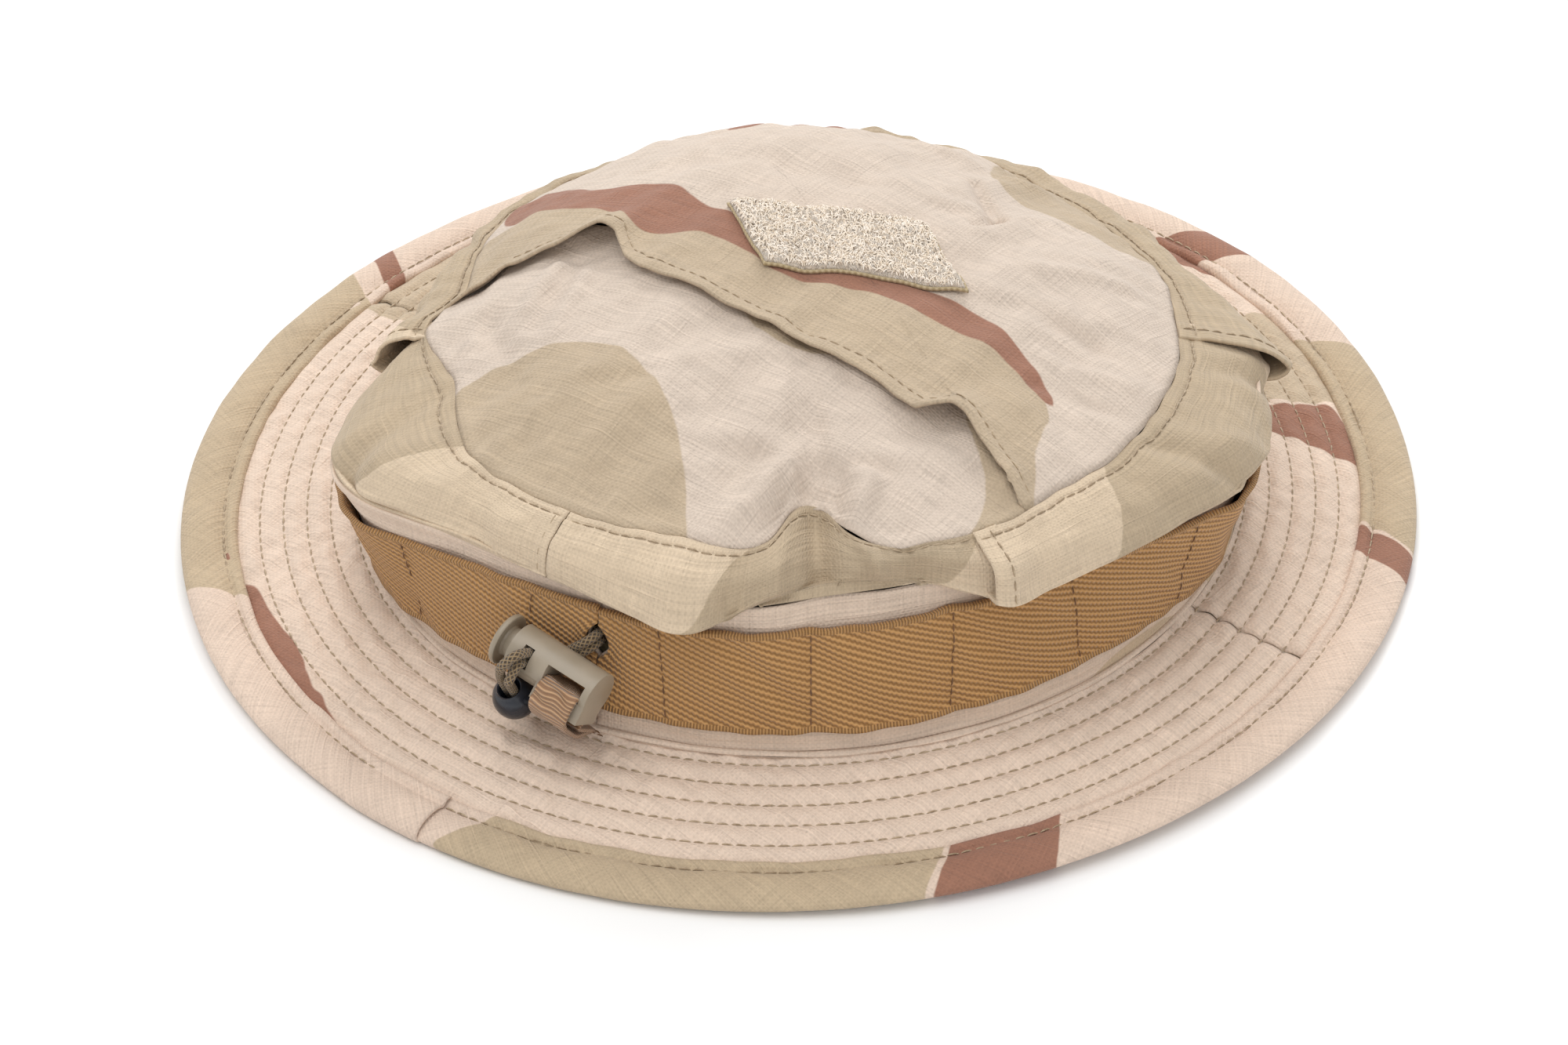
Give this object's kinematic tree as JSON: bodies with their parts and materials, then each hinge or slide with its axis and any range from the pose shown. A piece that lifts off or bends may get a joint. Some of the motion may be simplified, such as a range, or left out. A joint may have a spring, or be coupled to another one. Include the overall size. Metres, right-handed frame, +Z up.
{
  "type": "boonie hat",
  "caption": "Wide-brimmed soft field hat with quilted brim, slack two-panel crown, elastic band and a cord lock at the back.",
  "frame": {"origin": "on the surface the hat lies on, under the middle of the brim", "axes": "+Z up through the crown, +Y towards the back of the hat where the cord lock is, +X to the hat's left"},
  "size_m": [0.282, 0.294, 0.074],
  "materials": {
    "camo_ripstop": "cotton and nylon ripstop printed with three soft colours",
    "interlining": "stiff woven interlining",
    "sewing_thread": "twisted sewing thread",
    "elastic": "ribbed woven elastic",
    "elastic_thread": "twisted sewing thread",
    "sweatband_twill": "twill tape",
    "label_tape": "satin label tape, blank",
    "patch_cloth": "woven backing",
    "patch_pile": "looped pile",
    "cord": "braided cord",
    "bead_rubber": "moulded, satin",
    "lock_plastic": "moulded acetal, fine satin",
    "spring_steel": "drawn wire",
    "ribbon": "ribbed grosgrain"
  },
  "bodies": {
    "hat": {"brim_lower_fabric_rear": "camo_ripstop", "brim_lower_fabric_front": "camo_ripstop", "brim_upper_fabric_rear": "camo_ripstop", "brim_upper_fabric_front": "camo_ripstop", "brim_stiffener": "interlining", "brim_binding": "camo_ripstop", "brim_quilting_thread": "sewing_thread", "binding_thread": "sewing_thread", "sidewall": "camo_ripstop", "elastic_band": "elastic", "elastic_band_tacks": "elastic_thread", "sweatband": "sweatband_twill", "size_label": "label_tape", "side_panel_rear_left": "camo_ripstop", "side_panel_rear_right": "camo_ripstop", "side_panel_right": "camo_ripstop", "side_panel_front": "camo_ripstop", "crown_top_rear": "camo_ripstop", "crown_top_front": "camo_ripstop", "top_seam_tape": "camo_ripstop", "crown_topstitch_thread": "sewing_thread", "patch_backing": "patch_cloth", "patch_pile": "patch_pile", "drawcord": "cord", "lock_ribbon_tack": "sewing_thread"},
    "cord_lock": {"cord_lock_barrel": "lock_plastic", "cord_lock_spring": "spring_steel", "lock_ribbon": "ribbon"},
    "plunger": {"cord_lock_plunger": "lock_plastic"},
    "cord_tail": {"drawcord_tail": "cord", "cord_end_bead": "bead_rubber"}
  },
  "joints": [
    {"name": "lock_swing", "type": "hinge", "parent": "hat", "child": "cord_lock", "pos_m": [-0.0168, 0.1043, 0.0098], "axis": [-0.9816, 0, -0.1908], "range_deg": [0, 35]},
    {"name": "plunger_press", "type": "slide", "parent": "cord_lock", "child": "plunger", "axis": [-0.9816, 0, -0.1908], "range_m": [0, 0.0024], "stiffness_N_per_m": 900, "springref_m": -0.001, "deforming": ["cord_lock_spring"]},
    {"name": "drawcord_pull", "type": "slide", "parent": "cord_lock", "child": "cord_tail", "axis": [-0.1094, 0.8192, 0.563], "range_m": [0, 0.004]}
  ]
}
